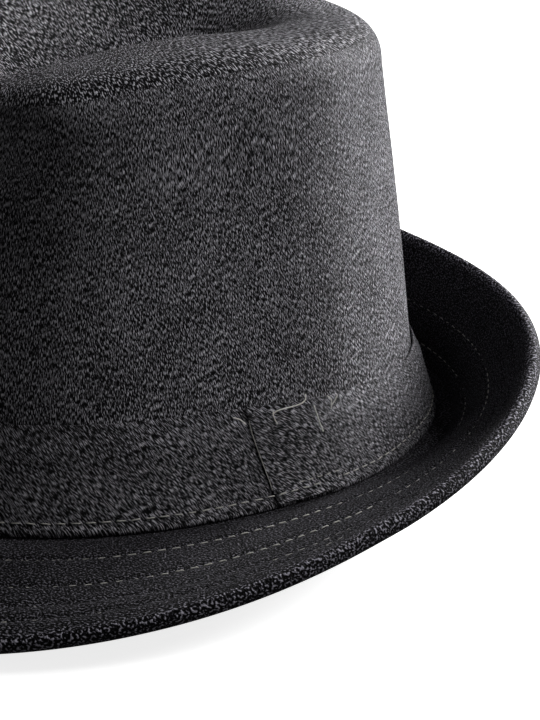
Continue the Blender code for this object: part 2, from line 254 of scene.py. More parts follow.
def sewn(name, middle, out, half, uv, relief=None, back_relief=None):
    """A closed piece of cloth round a middle face. Half is its half thickness, 0 along a free edge."""
    front = middle + out * (half + (0 if relief is None else relief * (half > 0)))[..., None]
    behind = middle - out * (half - (0 if back_relief is None else back_relief * (half > 0)))[..., None]
    piece = laid_grid(name, front, uv)
    other = laid_grid(name + "_behind", behind, uv)
    piece.select_set(True)
    bpy.context.view_layer.objects.active = piece
    bpy.ops.object.join()
    weld(piece)
    return piece


def arc_lengths(points):
    """Metres along the columns and rows of a grid, for its UV map."""
    across = np.linalg.norm(np.diff(points, axis=0), axis=-1)
    along = np.linalg.norm(np.diff(points, axis=1), axis=-1)
    u = np.concatenate([[0], np.cumsum(across.mean(1))])
    v = np.concatenate([[0], np.cumsum(along.mean(0))])
    return u, v


def lumps(points, size, seed):
    """Soft random unevenness from -1 to 1 at a size in metres."""
    place = Vector((seed * 7.3, seed * 3.1, seed * 5.7))
    flat = points.reshape(-1, 3) / size
    value = np.array([noise.noise(Vector(p) + place) for p in flat])
    return value.reshape(points.shape[:-1])


# %% [markdown]
# ## The crown's cloth
# Two side panels meet in seams over the ears, and the tip is sewn in along the shoulder. Cloth that is
# steamed on a block is never quite even, so its face gets lumps of a few centimetres, and it dips where
# a seam pulls it in.

# %% Crown panels and tip
WALL_RADIUS = 0.085


def seam_dip(distance, depth, width):
    return -depth * np.exp(-((distance / width) ** 2))


def slant(theta):
    """Lean of the nap, as sideways metres per metre of height: it was brushed round the hat."""
    return np.radians(24) * np.cos(theta)


def crown_piece(name, theta, climb, thick, free=(True, True), closed=False, relief=None):
    """A crown piece between two angles and two climbs. Its outer side lies on the block's face."""
    angle, rise = np.meshgrid(theta, climb, indexing="ij")
    face, out = crown(angle, rise), crown_out(angle, rise)
    middle = face - out * (thick / 2)
    around = np.ones(len(theta)) if closed else edge_round(theta * WALL_RADIUS, TURNED)
    half = thick / 2 * around[:, None] * edge_round(climb, TURNED, free)[None]
    u, v = arc_lengths(face)
    along = np.repeat(u[:, None], len(climb), 1)
    uv = np.stack([along - slant(angle) * v[None], np.repeat(v[None], len(theta), 0)], -1)
    bumps = None if relief is None else relief(angle, rise, face)
    return sewn(name, middle, out, half, uv, bumps)


def wall_relief(angle, rise, face):
    seam = (from_front(angle) - SEAM_AT) * WALL_RADIUS
    fade = smooth(0.02, 0.045, rise) * (1 - smooth(0.075, 0.10, rise))
    return (
        0.3 * MM * lumps(face, 0.034, 1)
        + 0.08 * MM * lumps(face, 0.011, 2)
        + seam_dip(seam, 0.18 * MM, 2.2 * MM)
        + seam_dip(seam + 0.016, 0.7 * MM, 7 * MM) * fade
        + seam_dip(rise - SEAM_CLIMB, 0.05 * MM, 2.0 * MM)
    )


def top_relief(angle, rise, face):
    return (
        0.4 * MM * lumps(face, 0.030, 1)
        + 0.1 * MM * lumps(face, 0.011, 2)
        + seam_dip(rise - SEAM_CLIMB, 0.05 * MM, 2.0 * MM)
    )


SEAM_CLIMB = SHOULDER_FOOT + SHOULDER * math.radians(44)
SEAM_HOLD = 0.01 * MM / WALL_RADIUS
TURNED = 0.04 * MM
side_rows = spaced(GAP, SEAM_CLIMB, 84, TURNED)
front_columns = spaced(SEAM_HOLD - SEAM_AT, SEAM_AT - SEAM_HOLD, 220, TURNED / WALL_RADIUS)
back_columns = spaced(SEAM_AT + SEAM_HOLD, 2 * math.pi - SEAM_AT - SEAM_HOLD, 200, TURNED / WALL_RADIUS)
crown_front = crown_piece("crown_front_cloth", front_columns, side_rows, CLOTH, relief=wall_relief)
crown_back = crown_piece("crown_back_cloth", back_columns, side_rows, CLOTH, relief=wall_relief)

tip_start = SEAM_CLIMB + 0.02 * MM
tip_rows = np.concatenate([
    spaced(tip_start, tip_start + 0.006, 5, TURNED)[:-5],
    np.linspace(tip_start + 0.007, TOP_START + TOP_RUN, 60),
])
full_circle = np.linspace(0, 2 * math.pi, 361)
crown_tip = crown_piece(
    "crown_tip_cloth", full_circle, tip_rows, CLOTH, free=(True, False), closed=True, relief=top_relief
)
for piece, node in (
    (crown_front, "crown_front_panel"),
    (crown_back, "crown_back_panel"),
    (crown_tip, "crown_tip"),
):
    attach(piece, "root")
    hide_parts(node)
    print(piece.name, len(piece.data.vertices), "points")

# %% [markdown]
# ## Band and keeper
# The band is the crown's own cloth, folded at its top edge and stitched a few millimetres above its
# foot, so that the foot flares. Its two ends meet over the left ear under a small keeper of the same
# cloth, sewn with a slanting front edge that stands a little proud.

# %% Hat band
BAND_HEIGHT, BAND_BACK_DROP, BAND_SIDE_DIP = 0.0275, 0.006, 0.0025
BAND_STITCH = 0.0031
PUCKER_PITCH, PUCKER_DEPTH, PUCKER_REACH = 0.0044, 0.06 * MM, 0.003
BAND_STACK = BAND_CLOTH + GAP


def band_height(theta):
    """The band is lower behind, and dips a little further at the sides."""
    turned = np.degrees(from_front(theta))
    dip = smooth(78, 98, turned) - smooth(120, 150, turned)
    return BAND_HEIGHT - BAND_BACK_DROP * smooth(90, 150, turned) - BAND_SIDE_DIP * dip


def band_face(theta, h):
    return crown(theta, h) + crown_out(theta, h) * BAND_STACK


band_share = spaced(GAP, BAND_HEIGHT, 26, BAND_CLOTH / 2) / BAND_HEIGHT
angle, share = np.meshgrid(full_circle, band_share, indexing="ij")
rise = share * band_height(angle)
face, out = crown(angle, rise), crown_out(angle, rise)
out[:, :6, 2] *= np.linspace(0, 1, 6)
out /= np.linalg.norm(out, axis=-1, keepdims=True)
pressed = 1 - 0.55 * smooth(0.7, 1.0, share)
middle = face + out * (pressed * (GAP + BAND_CLOTH / 2))[..., None]
half = BAND_CLOTH / 2 * pressed * edge_round(band_share * BAND_HEIGHT, BAND_CLOTH / 2)[None]
u, v = arc_lengths(face)
climb = np.repeat(v[None], len(full_circle), 0)
uv = np.stack([u[:, None] + 0.55 * climb, climb], -1)
pucker = np.sin(u / PUCKER_PITCH * 2 * math.pi)[:, None] * PUCKER_DEPTH
relief = (
    0.22 * MM * lumps(face, 0.016, 5)
    + seam_dip(rise - BAND_STITCH, 0.5 * MM, 1.3 * MM)
    + pucker * np.exp(-(((rise - BAND_STITCH) / PUCKER_REACH) ** 2))
)
hat_band = sewn("hat_band_cloth", middle, out, half, uv, relief)
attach(hat_band, "root")
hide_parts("hat_band")

# %% Keeper
KEEPER_AT, KEEPER_LEFT, KEEPER_RIGHT, KEEPER_SLANT = math.radians(91), -0.0084, 0.0104, 0.0042
KEEPER_WIDTH = KEEPER_RIGHT - KEEPER_LEFT
KEEPER_FOOT, KEEPER_TOP, KEEPER_THICK = 0.0006, BAND_HEIGHT + 0.0006, 0.0006
BAND_RADIUS = 0.0865
keeper_u = spaced(0, KEEPER_WIDTH, 24, KEEPER_THICK / 2)
keeper_v = spaced(KEEPER_FOOT, KEEPER_TOP, 26, KEEPER_THICK / 2)
across, rise = np.meshgrid(keeper_u / KEEPER_WIDTH, keeper_v, indexing="ij")
lower = 1 - (rise - KEEPER_FOOT) / (KEEPER_TOP - KEEPER_FOOT)
start = KEEPER_LEFT + KEEPER_SLANT * lower**1.1
angle = KEEPER_AT + (start + across * (KEEPER_RIGHT - start)) / BAND_RADIUS
rise = rise * band_height(angle) / BAND_HEIGHT
face, out = crown(angle, rise), crown_out(angle, rise)
on_band = BAND_STACK * (1 - 0.5 * smooth(0.75, 1.0, rise / band_height(angle)))
middle = face + out * (on_band + KEEPER_THICK / 2)[..., None]
half = KEEPER_THICK / 2 * edge_round(keeper_u, KEEPER_THICK / 2)[:, None]
half = half * edge_round(keeper_v, KEEPER_THICK / 2)[None]
uv = np.stack([across * KEEPER_WIDTH + 0.5 * rise + 0.31, rise + 0.17], -1)
relief = 0.1 * MM * lumps(face, 0.009, 8) - 0.3 * MM * np.exp(-(((rise - BAND_STITCH) / 0.0015) ** 2))
keeper = sewn("keeper_cloth", middle, out, half, uv, relief)
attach(keeper, "root")
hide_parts("band_keeper")
print("band and keeper laid,", round(float(u[-1]), 3), "m round")

# %% [markdown]
# ## The brim's two cloths
# Rows of topstitching run round the brim, through both cloths and the canvas. Each row pulls the cloth
# down into a shallow channel, and the thread gathers it in small puckers between the stitches.

# %% Brim cloths
ROWS = (0.204, 0.517, 0.725, 0.87)
CHANNEL_DEPTH, CHANNEL_WIDTH = 0.55 * MM, 1.2 * MM
GATHERS, GATHER_DEPTH, GATHER_REACH = 165, 0.10 * MM, 0.0032
INNER_REACH, MEAN_BRIM, WIDE_BRIM = 0.0034, 0.040, 0.045
INNER = -(BAND_STACK + INNER_REACH) / MEAN_BRIM
INNER_ROWS = np.linspace(INNER, 0, 7)[:-1]
FLAT_ROWS = np.concatenate([INNER_ROWS, np.linspace(0, BEND, 6)[:-1], np.linspace(BEND, 1, 58)])
TOP_LIP = np.radians([5, 12, 20, 30, 40, 50, 60, 70, 78, 84, 90, 96, 104, 112, 120, 128, 134, 138, 140])
UNDER_LIP = np.radians([5, 12, 20, 28, 34, 38, 39.5])
AT_FOLD = 4
INNER_EDGE = edge_round(INNER_ROWS * WIDE_BRIM, CLOTH / 2, (True, False))


def row_place(row, theta):
    """A row's share of the brim's width: the machine kept it a little further out at the front."""
    return row + 0.04 * np.cos(theta) * (1 - row)


def brim_cloth(name, side, lip, columns, seed):
    """One brim cloth. The top one is turned over the edge, and the under one meets it below."""
    brim_rows = np.concatenate([FLAT_ROWS, 1 + lip])
    theta = np.linspace(0, 2 * math.pi, columns)
    angle, share = np.meshgrid(theta, brim_rows, indexing="ij")
    width = waves(BRIM_WIDTH, angle)
    ledge = BACK_LEDGE * smooth(math.radians(95), math.radians(130), from_front(angle))
    share = np.where(share < 0, share * (1 + ledge / (BAND_STACK + INNER_REACH)), share)

    def face_of(a, b):
        return brim(a, b, side * SIDE_LEVEL)

    middle = face_of(angle, share)
    out = facing(face_of, angle, share, 0.01, 0.004) * -side
    half = np.full(share.shape, CLOTH / 2)
    half[:, -len(lip) :] *= edge_round(lip * SIDE_LEVEL, 0.0003, (False, True))
    half[:, : len(INNER_EDGE)] *= INNER_EDGE
    u, v = arc_lengths(middle)
    uv = np.stack([np.repeat(u[:, None], len(brim_rows), 1), np.repeat(v[None], columns, 0) + seed], -1)
    calm = smooth(-0.02, 0.03, share) * (1 - smooth(0.97, 1.1, share))
    relief = 0.3 * MM * lumps(middle, 0.024, seed) + 0.12 * MM * lumps(middle, 0.007, seed + 1)
    gather = GATHER_DEPTH * np.sin(angle * GATHERS + 9 * lumps(middle, 0.03, seed + 2))
    for row in ROWS:
        away = (share - row_place(row, angle)) * width
        gathered = gather * np.exp(-((away / GATHER_REACH) ** 2))
        relief += (seam_dip(away, CHANNEL_DEPTH, CHANNEL_WIDTH) + gathered) * calm
    fold = float(v[len(FLAT_ROWS) + AT_FOLD]) + seed
    return sewn(name, middle, out, half, uv, relief * calm), fold


brim_top, FOLD = brim_cloth("brim_top_cloth", 1, TOP_LIP, 481, 11)
brim_under, _ = brim_cloth("brim_under_cloth", -1, UNDER_LIP, 361, 21)
for piece, node in ((brim_top, "brim_top"), (brim_under, "brim_under")):
    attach(piece, "root")
    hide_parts(node)
    print(piece.name, len(piece.data.polygons), "faces")

# %% [markdown]
# ## Topstitching
# One stitch is modelled by hand: a six-sided thread, extruded six times, thinner and lower at both
# ends, where it goes down through the cloth. It is then copied along each row, a few degrees off true,
# as a machine leaves it.

# %% One stitch, copied along a row
STITCH, PITCH, THREAD = 0.0024, 0.0038, 0.00016
IN_CHANNEL, IN_BAND, BAND_SINK = 0.34 * MM, 0.3 * MM, 0.02 * MM
KEEPER_REACH = 0.125


def one_stitch(length, thread):
    bpy.ops.object.select_all(action="DESELECT")
    bpy.ops.mesh.primitive_circle_add(
        vertices=6, radius=thread, fill_type="NGON",
        rotation=(0, math.pi / 2, 0), location=(-length / 2, 0, 0),
    )
    stitch = bpy.context.object
    bpy.ops.object.transform_apply(location=True, rotation=True, scale=True)
    select_all()
    for _ in range(6):
        bpy.ops.mesh.extrude_region_move(TRANSFORM_OT_translate={"value": (length / 6, 0, 0)})
    bpy.ops.mesh.select_all(action="SELECT")
    bpy.ops.mesh.normals_make_consistent(inside=False)
    bpy.ops.object.mode_set(mode="OBJECT")
    points = np.array([v.co for v in stitch.data.vertices])
    near_end = np.abs(points[:, 0]) / (length / 2)
    points[:, 1:] *= np.sqrt(np.clip(1.15 - near_end**6, 0.2, 1))[:, None]
    points[:, 2] += thread * 0.7 - thread * 1.4 * near_end**10
    faces = [tuple(p.vertices) for p in stitch.data.polygons]
    bpy.data.objects.remove(stitch)
    return points, faces


def stitch_row(name, places, along, out, sinks):
    """Copies of the stitch at each place, turned along the row and out from the cloth."""
    points, faces = one_stitch(STITCH, THREAD)
    verts, polys = [], []
    for place, forward, up, sink in zip(places, along, out, sinks):
        side = np.cross(up, forward)
        swing = RNG.normal(0, 0.05)
        forward, side = forward + side * swing, side - forward * swing
        stretch = RNG.normal(1, 0.05)
        low = sink + abs(RNG.normal(0, 0.04 * MM))
        base = len(verts)
        for p in points:
            verts.append(place + forward * p[0] * stretch + side * p[1] + up * (p[2] - low))
        polys += [tuple(base + i for i in f) for f in faces]
    data = bpy.data.meshes.new(name)
    data.from_pydata(verts, [], polys)
    row = bpy.data.objects.new(name, data)
    bpy.context.collection.objects.link(row)
    data.shade_smooth()
    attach(row, "root")
    print(name, len(verts) // len(points), "stitches")
    return row


def evenly(line, pitch):
    """Places a pitch apart along a closed or open line of points, and the line's direction there."""
    steps = np.linalg.norm(np.diff(line, axis=0), axis=1)
    far = np.concatenate([[0], np.cumsum(steps)])
    count = int(far[-1] / pitch)
    at = (np.arange(count) + 0.5) * far[-1] / count
    places = np.stack([np.interp(at, far, line[:, k]) for k in range(3)], 1)
    ahead = np.stack([np.interp(at + 0.001, far, line[:, k]) for k in range(3)], 1)
    behind = np.stack([np.interp(at - 0.001, far, line[:, k]) for k in range(3)], 1)
    way = ahead - behind
    return places, way / np.linalg.norm(way, axis=1, keepdims=True), at / far[-1]


fine = np.linspace(0, 2 * math.pi, 1441)
stitches = []
# How far down in the nap each row's thread lies, in mm, and the angle from which on it shows. Before
# that angle, and again behind the ear, the nap covers it more.
SINKS, PLAIN_FROM, COVER_BEFORE, COVER_BEHIND = (0.04, 0.06, 0.41, 0.45), (64, 69, 0, 0), 0.3, 0.28
for number, (row, sink, plain) in enumerate(zip(ROWS, SINKS, PLAIN_FROM), 1):
    for side, word in ((1, "top"), (-1, "under")):
        def skin(a, b, side=side):
            return brim(a, b, side * BRIM_HALF)

        angle = fine[:, None]
        share = row_place(row, angle)
        line = (skin(angle, share) + facing(skin, angle, share, 0.01, 0.004) * side * IN_CHANNEL)[:, 0]
        places, way, part = evenly(line, PITCH)
        at = (part * 2 * math.pi)[:, None]
        up = facing(skin, at, row_place(row, at), 0.01, 0.004)[:, 0] * -side
        turned = np.degrees(from_front(at[:, 0]))
        deep = sink + COVER_BEHIND * smooth(92, 104, turned)
        deep = deep + COVER_BEFORE * (1 - smooth(plain - 6, plain + 4, turned))
        stitches.append(stitch_row(f"brim_{word}_stitches_{number}", places, way, up, deep * MM))

angle = fine[:, None]
rise = np.full_like(angle, BAND_STITCH)
line = (band_face(angle, rise) - crown_out(angle, rise) * IN_BAND)[:, 0]
places, way, part = evenly(line, PITCH)
# Near the keeper the cloth is thicker, so the thread lies further out.
over = crown_out(angle, rise)[:, 0]
up = np.stack([np.interp(part * 2 * math.pi, fine, over[:, k]) for k in range(3)], 1)
on_keeper = np.abs(part * 2 * math.pi - KEEPER_AT) < KEEPER_REACH
places = places + up * np.where(on_keeper, KEEPER_THICK, 0)[:, None]
stitches.append(stitch_row("band_stitches", places, way, up, np.full(len(places), BAND_SINK)))

# The band's seam was begun and ended at the keeper, so a second short run lies above the first.
RUN_PLACES, RUN_PITCH, RUN_ABOVE = 60, 0.0030, 0.0017
angle = np.radians(np.linspace(91.0, 98.6, RUN_PLACES))[:, None]
rise = np.full_like(angle, BAND_STITCH + RUN_ABOVE)
over = crown_out(angle, rise)
line = (band_face(angle, rise) + over * (KEEPER_THICK - IN_BAND))[:, 0]
places, way, part = evenly(line, RUN_PITCH)
up = np.stack([np.interp(part, np.linspace(0, 1, RUN_PLACES), over[:, 0, k]) for k in range(3)], 1)
stitches.append(stitch_row("band_stitches_second", places, way, up, np.full(len(places), BAND_SINK)))

# %% [markdown]
# ## Loose thread ends
# Where the band's ends are joined under the keeper, the threads are cut a few millimetres long.
# Each end is a short curve with a round section, converted to a mesh. Its points are given as degrees
# round the hat, height up the band and height off the cloth, in millimetres. One finer strand is long:
# it lies along the keeper's front fold.

# %% Thread ends
STRAND_POINTS = 12


def thread_end(name, route, thread):
    bpy.ops.object.select_all(action="DESELECT")
    bpy.ops.curve.primitive_nurbs_path_add()
    strand = bpy.context.object
    strand.name = name
    spline = strand.data.splines[0]
    spline.points.add(STRAND_POINTS - len(spline.points))
    spline.order_u, spline.use_endpoint_u = 3, True
    steps, stations = np.linspace(0, 1, STRAND_POINTS), np.linspace(0, 1, len(route))
    even = np.stack([np.interp(steps, stations, column) for column in np.transpose(route)], 1)
    for point, (degrees, height, off) in zip(spline.points, even):
        at, up = np.array([[math.radians(degrees)]]), np.array([[height * MM]])
        place = crown(at, up)[0, 0] + crown_out(at, up)[0, 0] * (BAND_STACK + off * MM)
        point.co = (*place, 1)
    strand.data.bevel_depth = thread
    strand.data.bevel_resolution = 1
    strand.data.use_fill_caps = True
    strand.data.resolution_u = 4
    bpy.ops.object.convert(target="MESH")
    strand = bpy.context.object
    strand.name = strand.data.name = name
    bpy.ops.object.shade_smooth()
    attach(strand, "root")
    return strand


ON, HAIR_END = 1.3, 0.18 * MM
ends = [
    thread_end("thread_end_top", [
        (89.0, 24.4, 0.7), (89.4, 25.2, ON), (90.4, 25.4, 1.5), (91.6, 25.5, 1.9),
        (92.8, 25.9, 2.2), (93.3, 26.8, 2.2), (93.4, 28.0, 1.8),
    ], HAIR_END),
    thread_end("thread_end_side", [
        (95.0, 24.0, ON), (95.2, 22.6, ON), (95.5, 20.8, ON),
        (95.7, 19.0, ON), (96.1, 17.0, ON), (96.2, 16.2, ON),
    ], HAIR_END),
    thread_end("thread_end_fold", [
        (85.3, 24.0, 0.9), (85.7, 20.0, 0.9), (86.3, 15.6, 0.9),
        (86.9, 11.0, 0.9), (87.4, 6.4, 0.9), (87.6, 4.6, 0.7),
    ], 0.07 * MM),
    thread_end("thread_end_left", [
        (83.0, 25.6, 0.4), (83.8, 25.0, ON), (84.4, 23.9, ON), (84.9, 23.1, 0.5),
    ], HAIR_END),
    thread_end("thread_end_hook", [
        (89.0, 25.4, 0.9), (88.9, 24.2, ON), (89.1, 22.8, ON), (89.5, 21.4, 0.8),
    ], 0.13 * MM),
    thread_end("thread_end_right", [
        (97.4, 25.8, 1.6), (98.2, 24.4, 1.6), (98.2, 22.8, ON), (98.6, 21.4, 0.5),
    ], 0.13 * MM),
    thread_end("thread_end_small", [
        (99.6, 25.0, ON), (99.0, 23.8, 1.4), (98.4, 22.8, ON),
    ], 0.13 * MM),
]
print(len(ends), "thread ends")

# %% [markdown]
# ## Inside the crown
# The head opening is finished with a cotton sweatband. Above it hangs a satin lining, gathered a
# little where it is sewn in, with a flat oval tip. A blank label is caught at the back.

# %% Sweatband and lining
LINING_DEPTH, SWEATBAND_DEPTH, LABEL_DEPTH = 0.0028, 0.0044, 0.0060
SWEATBAND_CLOTH, LINING_CLOTH, LABEL_CLOTH = 0.0010, 0.0004, 0.0004
SWEATBAND_LOW, SWEATBAND_HIGH, SWEATBAND_HEM = -0.0032, 0.034, 0.0305
LINING_FOOT = 0.002
LABEL_WIDTH, LABEL_LOW, LABEL_HIGH = 0.030, 0.010, 0.028


def inner_piece(name, theta, climb, thick, depth, closed, back):
    """A piece that lines the crown, so that its good face is the inner one, moved by back."""
    angle, rise = np.meshgrid(theta, climb, indexing="ij")
    face, out = crown(angle, rise), crown_out(angle, rise)
    out[..., 2] *= smooth(0.0, 0.012, rise)
    out /= np.linalg.norm(out, axis=-1, keepdims=True)
    middle = face - out * (depth + thick / 2)
    around = np.ones(len(theta)) if closed else edge_round(theta * WALL_RADIUS, thick / 2)
    half = thick / 2 * around[:, None] * edge_round(climb, thick / 2)[None]
    u, v = arc_lengths(middle)
    uv = np.stack([np.repeat(u[:, None], len(climb), 1), np.repeat(v[None], len(theta), 0)], -1)
    return sewn(name, middle, out, half, uv, None, back(angle, rise, middle))


def sweatband_back(angle, rise, face):
    hem = 0.25 * MM * (1 - smooth(0.0, 0.0008, np.abs(rise - SWEATBAND_HEM)))
    return 0.2 * MM * lumps(face, 0.012, 31) + hem


def lining_back(angle, rise, face):
    gathers = np.sin(angle * 46 + 5 * lumps(face, 0.04, 33))
    return -0.35 * MM * (1 + gathers) - 0.3 * MM * (1 + lumps(face, 0.02, 34))


sweatband = inner_piece(
    "sweatband_twill", full_circle, spaced(SWEATBAND_LOW, SWEATBAND_HIGH, 34, SWEATBAND_CLOTH / 2),
    SWEATBAND_CLOTH, SWEATBAND_DEPTH, True, sweatband_back,
)
lining_side = inner_piece(
    "lining_side_satin", full_circle, spaced(LINING_FOOT, LINING_HEIGHT, 60, LINING_CLOTH / 2),
    LINING_CLOTH, LINING_DEPTH, True, lining_back,
)
label_half = LABEL_WIDTH / 2 / HALF_WIDTH
label = inner_piece(
    "care_label_blank", spaced(math.pi - label_half, math.pi + label_half, 20, 0.003),
    spaced(LABEL_LOW, LABEL_HIGH, 14, LABEL_CLOTH / 2), LABEL_CLOTH, LABEL_DEPTH, False,
    lambda angle, rise, face: 0.15 * MM * lumps(face, 0.008, 35),
)
for piece, node, finish in (
    (sweatband, "sweatband", "sweatband_twill"),
    (lining_side, "lining_side", "satin_lining"),
    (label, "care_label", "label_satin"),
):
    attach(piece, "root")
    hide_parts(node)

# %% Lining tip
rim_angle = full_circle[:-1][::2]
rim = crown(rim_angle, np.full_like(rim_angle, LINING_HEIGHT))
rim_out = crown_out(rim_angle, np.full_like(rim_angle, LINING_HEIGHT))
rim = rim - rim_out * (LINING_DEPTH + LINING_CLOTH + GAP)
rim[:, 2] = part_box("lining_tip")[1].z - LINING_CLOTH / 2
share = np.concatenate([[0, 0.001, 0.003], np.linspace(0.02, 1, 34)])
ring = np.concatenate([rim, rim[:1]])
middle_point = rim.mean(0)
middle = ring[:, None] * (1 - share)[None, :, None] + middle_point * share[None, :, None]
out = np.zeros_like(middle)
out[..., 2] = 1
half = LINING_CLOTH / 2 * np.repeat(np.minimum(share / 0.003, 1)[None] ** 0.5, len(ring), 0)
uv = middle[..., :2].copy()
sag = 0.35 * MM * lumps(middle, 0.03, 41) * smooth(0, 0.1, share)[None]
lining_tip = sewn("lining_tip_satin", middle, out, half, uv, sag, sag)
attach(lining_tip, "root")
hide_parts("lining_tip")

# %% [markdown]
# ## Materials
# Every finish is made with nodes. One small function adds a node, sets it and links it, and another
# turns the sRGB hex value of a colour, as a screen shows it, to the linear numbers that shaders use.

# %% Node helper
def colour(hex_value):
    srgb = [int(hex_value[i : i + 2], 16) / 255 for i in (0, 2, 4)]
    return (*[c / 12.92 if c <= 0.04045 else ((c + 0.055) / 1.055) ** 2.4 for c in srgb], 1)


def add(tree, kind, settings=None, **links):
    """Adds a node. Settings are its own properties, links are sockets by name: a value or an output."""
    node = tree.nodes.new(kind)
    for key, value in (settings or {}).items():
        setattr(node, key, value)
    for key, value in links.items():
        by_number = key[0] == "i" and key[1:].isdigit()
        socket = node.inputs[int(key[1:]) if by_number else key.replace("_", " ")]
        if isinstance(value, bpy.types.NodeSocket):
            tree.links.new(value, socket)
        else:
            socket.default_value = value
    return node


def new_material(name):
    material = bpy.data.materials.new(name)
    material.use_nodes = True
    return material, material.node_tree, material.node_tree.nodes["Principled BSDF"]


def dress(piece, material):
    piece.data.materials.clear()
    piece.data.materials.append(material)


# %% [markdown]
# ### Brushed melange wool
# The cloth is woven from dark and light fibres and brushed, so that a nap of fine hairs lies over the
# weave, most of it one way. The eye sees short streaks of near black, charcoal and a few pale hairs.
# Two noises stretched along the nap make the streaks. Real hairs are 0.02 mm wide, too fine to show, so the
# streaks are drawn about 0.2 mm wide on the crown, as tufts of hairs. On the brim the tufts are wider than
# long, and along its fold a painted highlight makes the cloth's colour paler.

# %% Wool
# How far from the brim's fold and how strongly the painted highlight makes its colour paler.
FOLD_HIGHLIGHT_REACH, FOLD_HIGHLIGHT_GAIN = 0.0024, 2.8


def brushed_wool(name, dark, mid, pale, tuft=0.00023, hair=0.0013, lean=-0.3, fold=None):
    """Wool of three tones. A streak is a tuft wide and a hair long, and turned by lean."""
    material, tree, shader = new_material(name)
    where = add(tree, "ShaderNodeUVMap", {"uv_map": "cloth"}).outputs["UV"]
    drift = add(tree, "ShaderNodeTexNoise", {}, Vector=where, Scale=110.0, Detail=1.0)
    push = add(tree, "ShaderNodeVectorMath", {"operation": "MULTIPLY_ADD"},
               i0=drift.outputs["Color"], i1=(0.0008, 0.0, 0.0), i2=where).outputs[0]
    streaks = []
    slanted = add(tree, "ShaderNodeMapping", {}, Vector=push, Rotation=(0.0, 0.0, lean)).outputs[0]
    for size, reach in ((tuft, hair), (tuft * 0.6, hair * 0.5)):
        lay = add(tree, "ShaderNodeMapping", {}, Vector=slanted, Scale=(1 / size, 1 / reach, 1.0))
        streak = add(tree, "ShaderNodeTexNoise", {}, Vector=lay.outputs[0], Scale=1.0, Detail=0.0)
        streaks.append(streak.outputs["Fac"])
    both = add(tree, "ShaderNodeMix", {"data_type": "FLOAT"},
               i0=0.35, i2=streaks[0], i3=streaks[1]).outputs[0]
    patch = add(tree, "ShaderNodeTexNoise", {}, Vector=where, Scale=70.0, Detail=2.0).outputs["Fac"]
    toned = add(tree, "ShaderNodeMath", {"operation": "MULTIPLY_ADD"}, i0=patch, i1=0.08, i2=both).outputs[0]
    ramp = add(tree, "ShaderNodeValToRGB", {}, i0=toned)
    stops = ramp.color_ramp.elements
    stops[0].position, stops[0].color = 0.47, colour(dark)
    stops[1].position, stops[1].color = 0.69, colour(pale)
    middle_stop = stops.new(0.57)
    middle_stop.color = colour(mid)
    tone = ramp.outputs["Color"]
    if fold:
        # A painted highlight: along the fold the cloth's colour is made paler, standing in for light caught
        # by the raised nap there.
        across = add(tree, "ShaderNodeSeparateXYZ", {}, Vector=where).outputs["Y"]
        away = add(tree, "ShaderNodeMath", {"operation": "SUBTRACT"}, i0=across, i1=fold).outputs[0]
        away = add(tree, "ShaderNodeMath", {"operation": "ABSOLUTE"}, i0=away).outputs[0]
        fold_highlight = add(tree, "ShaderNodeMapRange", {}, Value=away,
                     From_Min=0.0, From_Max=FOLD_HIGHLIGHT_REACH, To_Min=FOLD_HIGHLIGHT_GAIN, To_Max=1.0).outputs["Result"]
        tone = add(tree, "ShaderNodeVectorMath", {"operation": "SCALE"}, i0=tone, Scale=fold_highlight).outputs[0]
    tree.links.new(tone, shader.inputs["Base Color"])
    bump = add(tree, "ShaderNodeBump", {}, Height=both, Strength=0.8, Distance=0.0012)
    tree.links.new(bump.outputs["Normal"], shader.inputs["Normal"])
    shader.inputs["Roughness"].default_value = 0.75
    shader.inputs["Specular IOR Level"].default_value = 0.08
    shader.inputs["Sheen Weight"].default_value = 0.05
    shader.inputs["Sheen Roughness"].default_value = 0.45
    shader.inputs["Sheen Tint"].default_value = colour("B9B7BD")
    return material


crown_wool = brushed_wool("brushed charcoal wool, crown", "010101", "201F22", "D2D0D8")
# The band's and the brim's copies of this wool are darker than the crown's: painted shade, a little on the
# band and much on the brim, for light that reaches them less.
band_wool_painted_shade = brushed_wool("brushed charcoal wool, band, painted shade", "010101", "1D1C1F", "C0BEC6")
brim_wool_painted_shade = brushed_wool(
    "brushed charcoal wool, brim, painted shade", "010101", "08070A", "6C6A72", tuft=0.00065, hair=0.00048, fold=FOLD
)
for piece in (crown_front, crown_back, crown_tip):
    dress(piece, crown_wool)
for piece in (hat_band, keeper):
    dress(piece, band_wool_painted_shade)
for piece in (brim_top, brim_under):
    dress(piece, brim_wool_painted_shade)

# %% [markdown]
# ### Threads and inner cloths
# The topstitching is a spun polyester thread, grey and matt, and its loose ends are paler. The lining
# is satin, whose long floats of smooth yarn shine along one direction. The sweatband is cotton twill,
# with fine slanting ribs.

# %% Thread
def spun_thread(name, shaded, tone):
    material, tree, shader = new_material(name)
    where = add(tree, "ShaderNodeTexCoord").outputs["Object"]
    ply = add(tree, "ShaderNodeTexNoise", {}, Vector=where, Scale=2600.0, Detail=1.0)
    shade = add(tree, "ShaderNodeMix", {"data_type": "RGBA"}, i0=ply.outputs["Fac"],
                i6=colour(shaded), i7=colour(tone)).outputs[2]
    tree.links.new(shade, shader.inputs["Base Color"])
    bump = add(tree, "ShaderNodeBump", {}, Height=ply.outputs["Fac"], Strength=0.5, Distance=0.0001)
    tree.links.new(bump.outputs["Normal"], shader.inputs["Normal"])
    shader.inputs["Roughness"].default_value = 0.6
    return material


grey_thread = spun_thread("spun grey thread", "7A7874", "E4E1DA")
pale_thread = spun_thread("spun pale thread", "B9B6B0", "FAF8F2")
for row in stitches:
    dress(row, grey_thread)
for strand in ends:
    dress(strand, pale_thread)


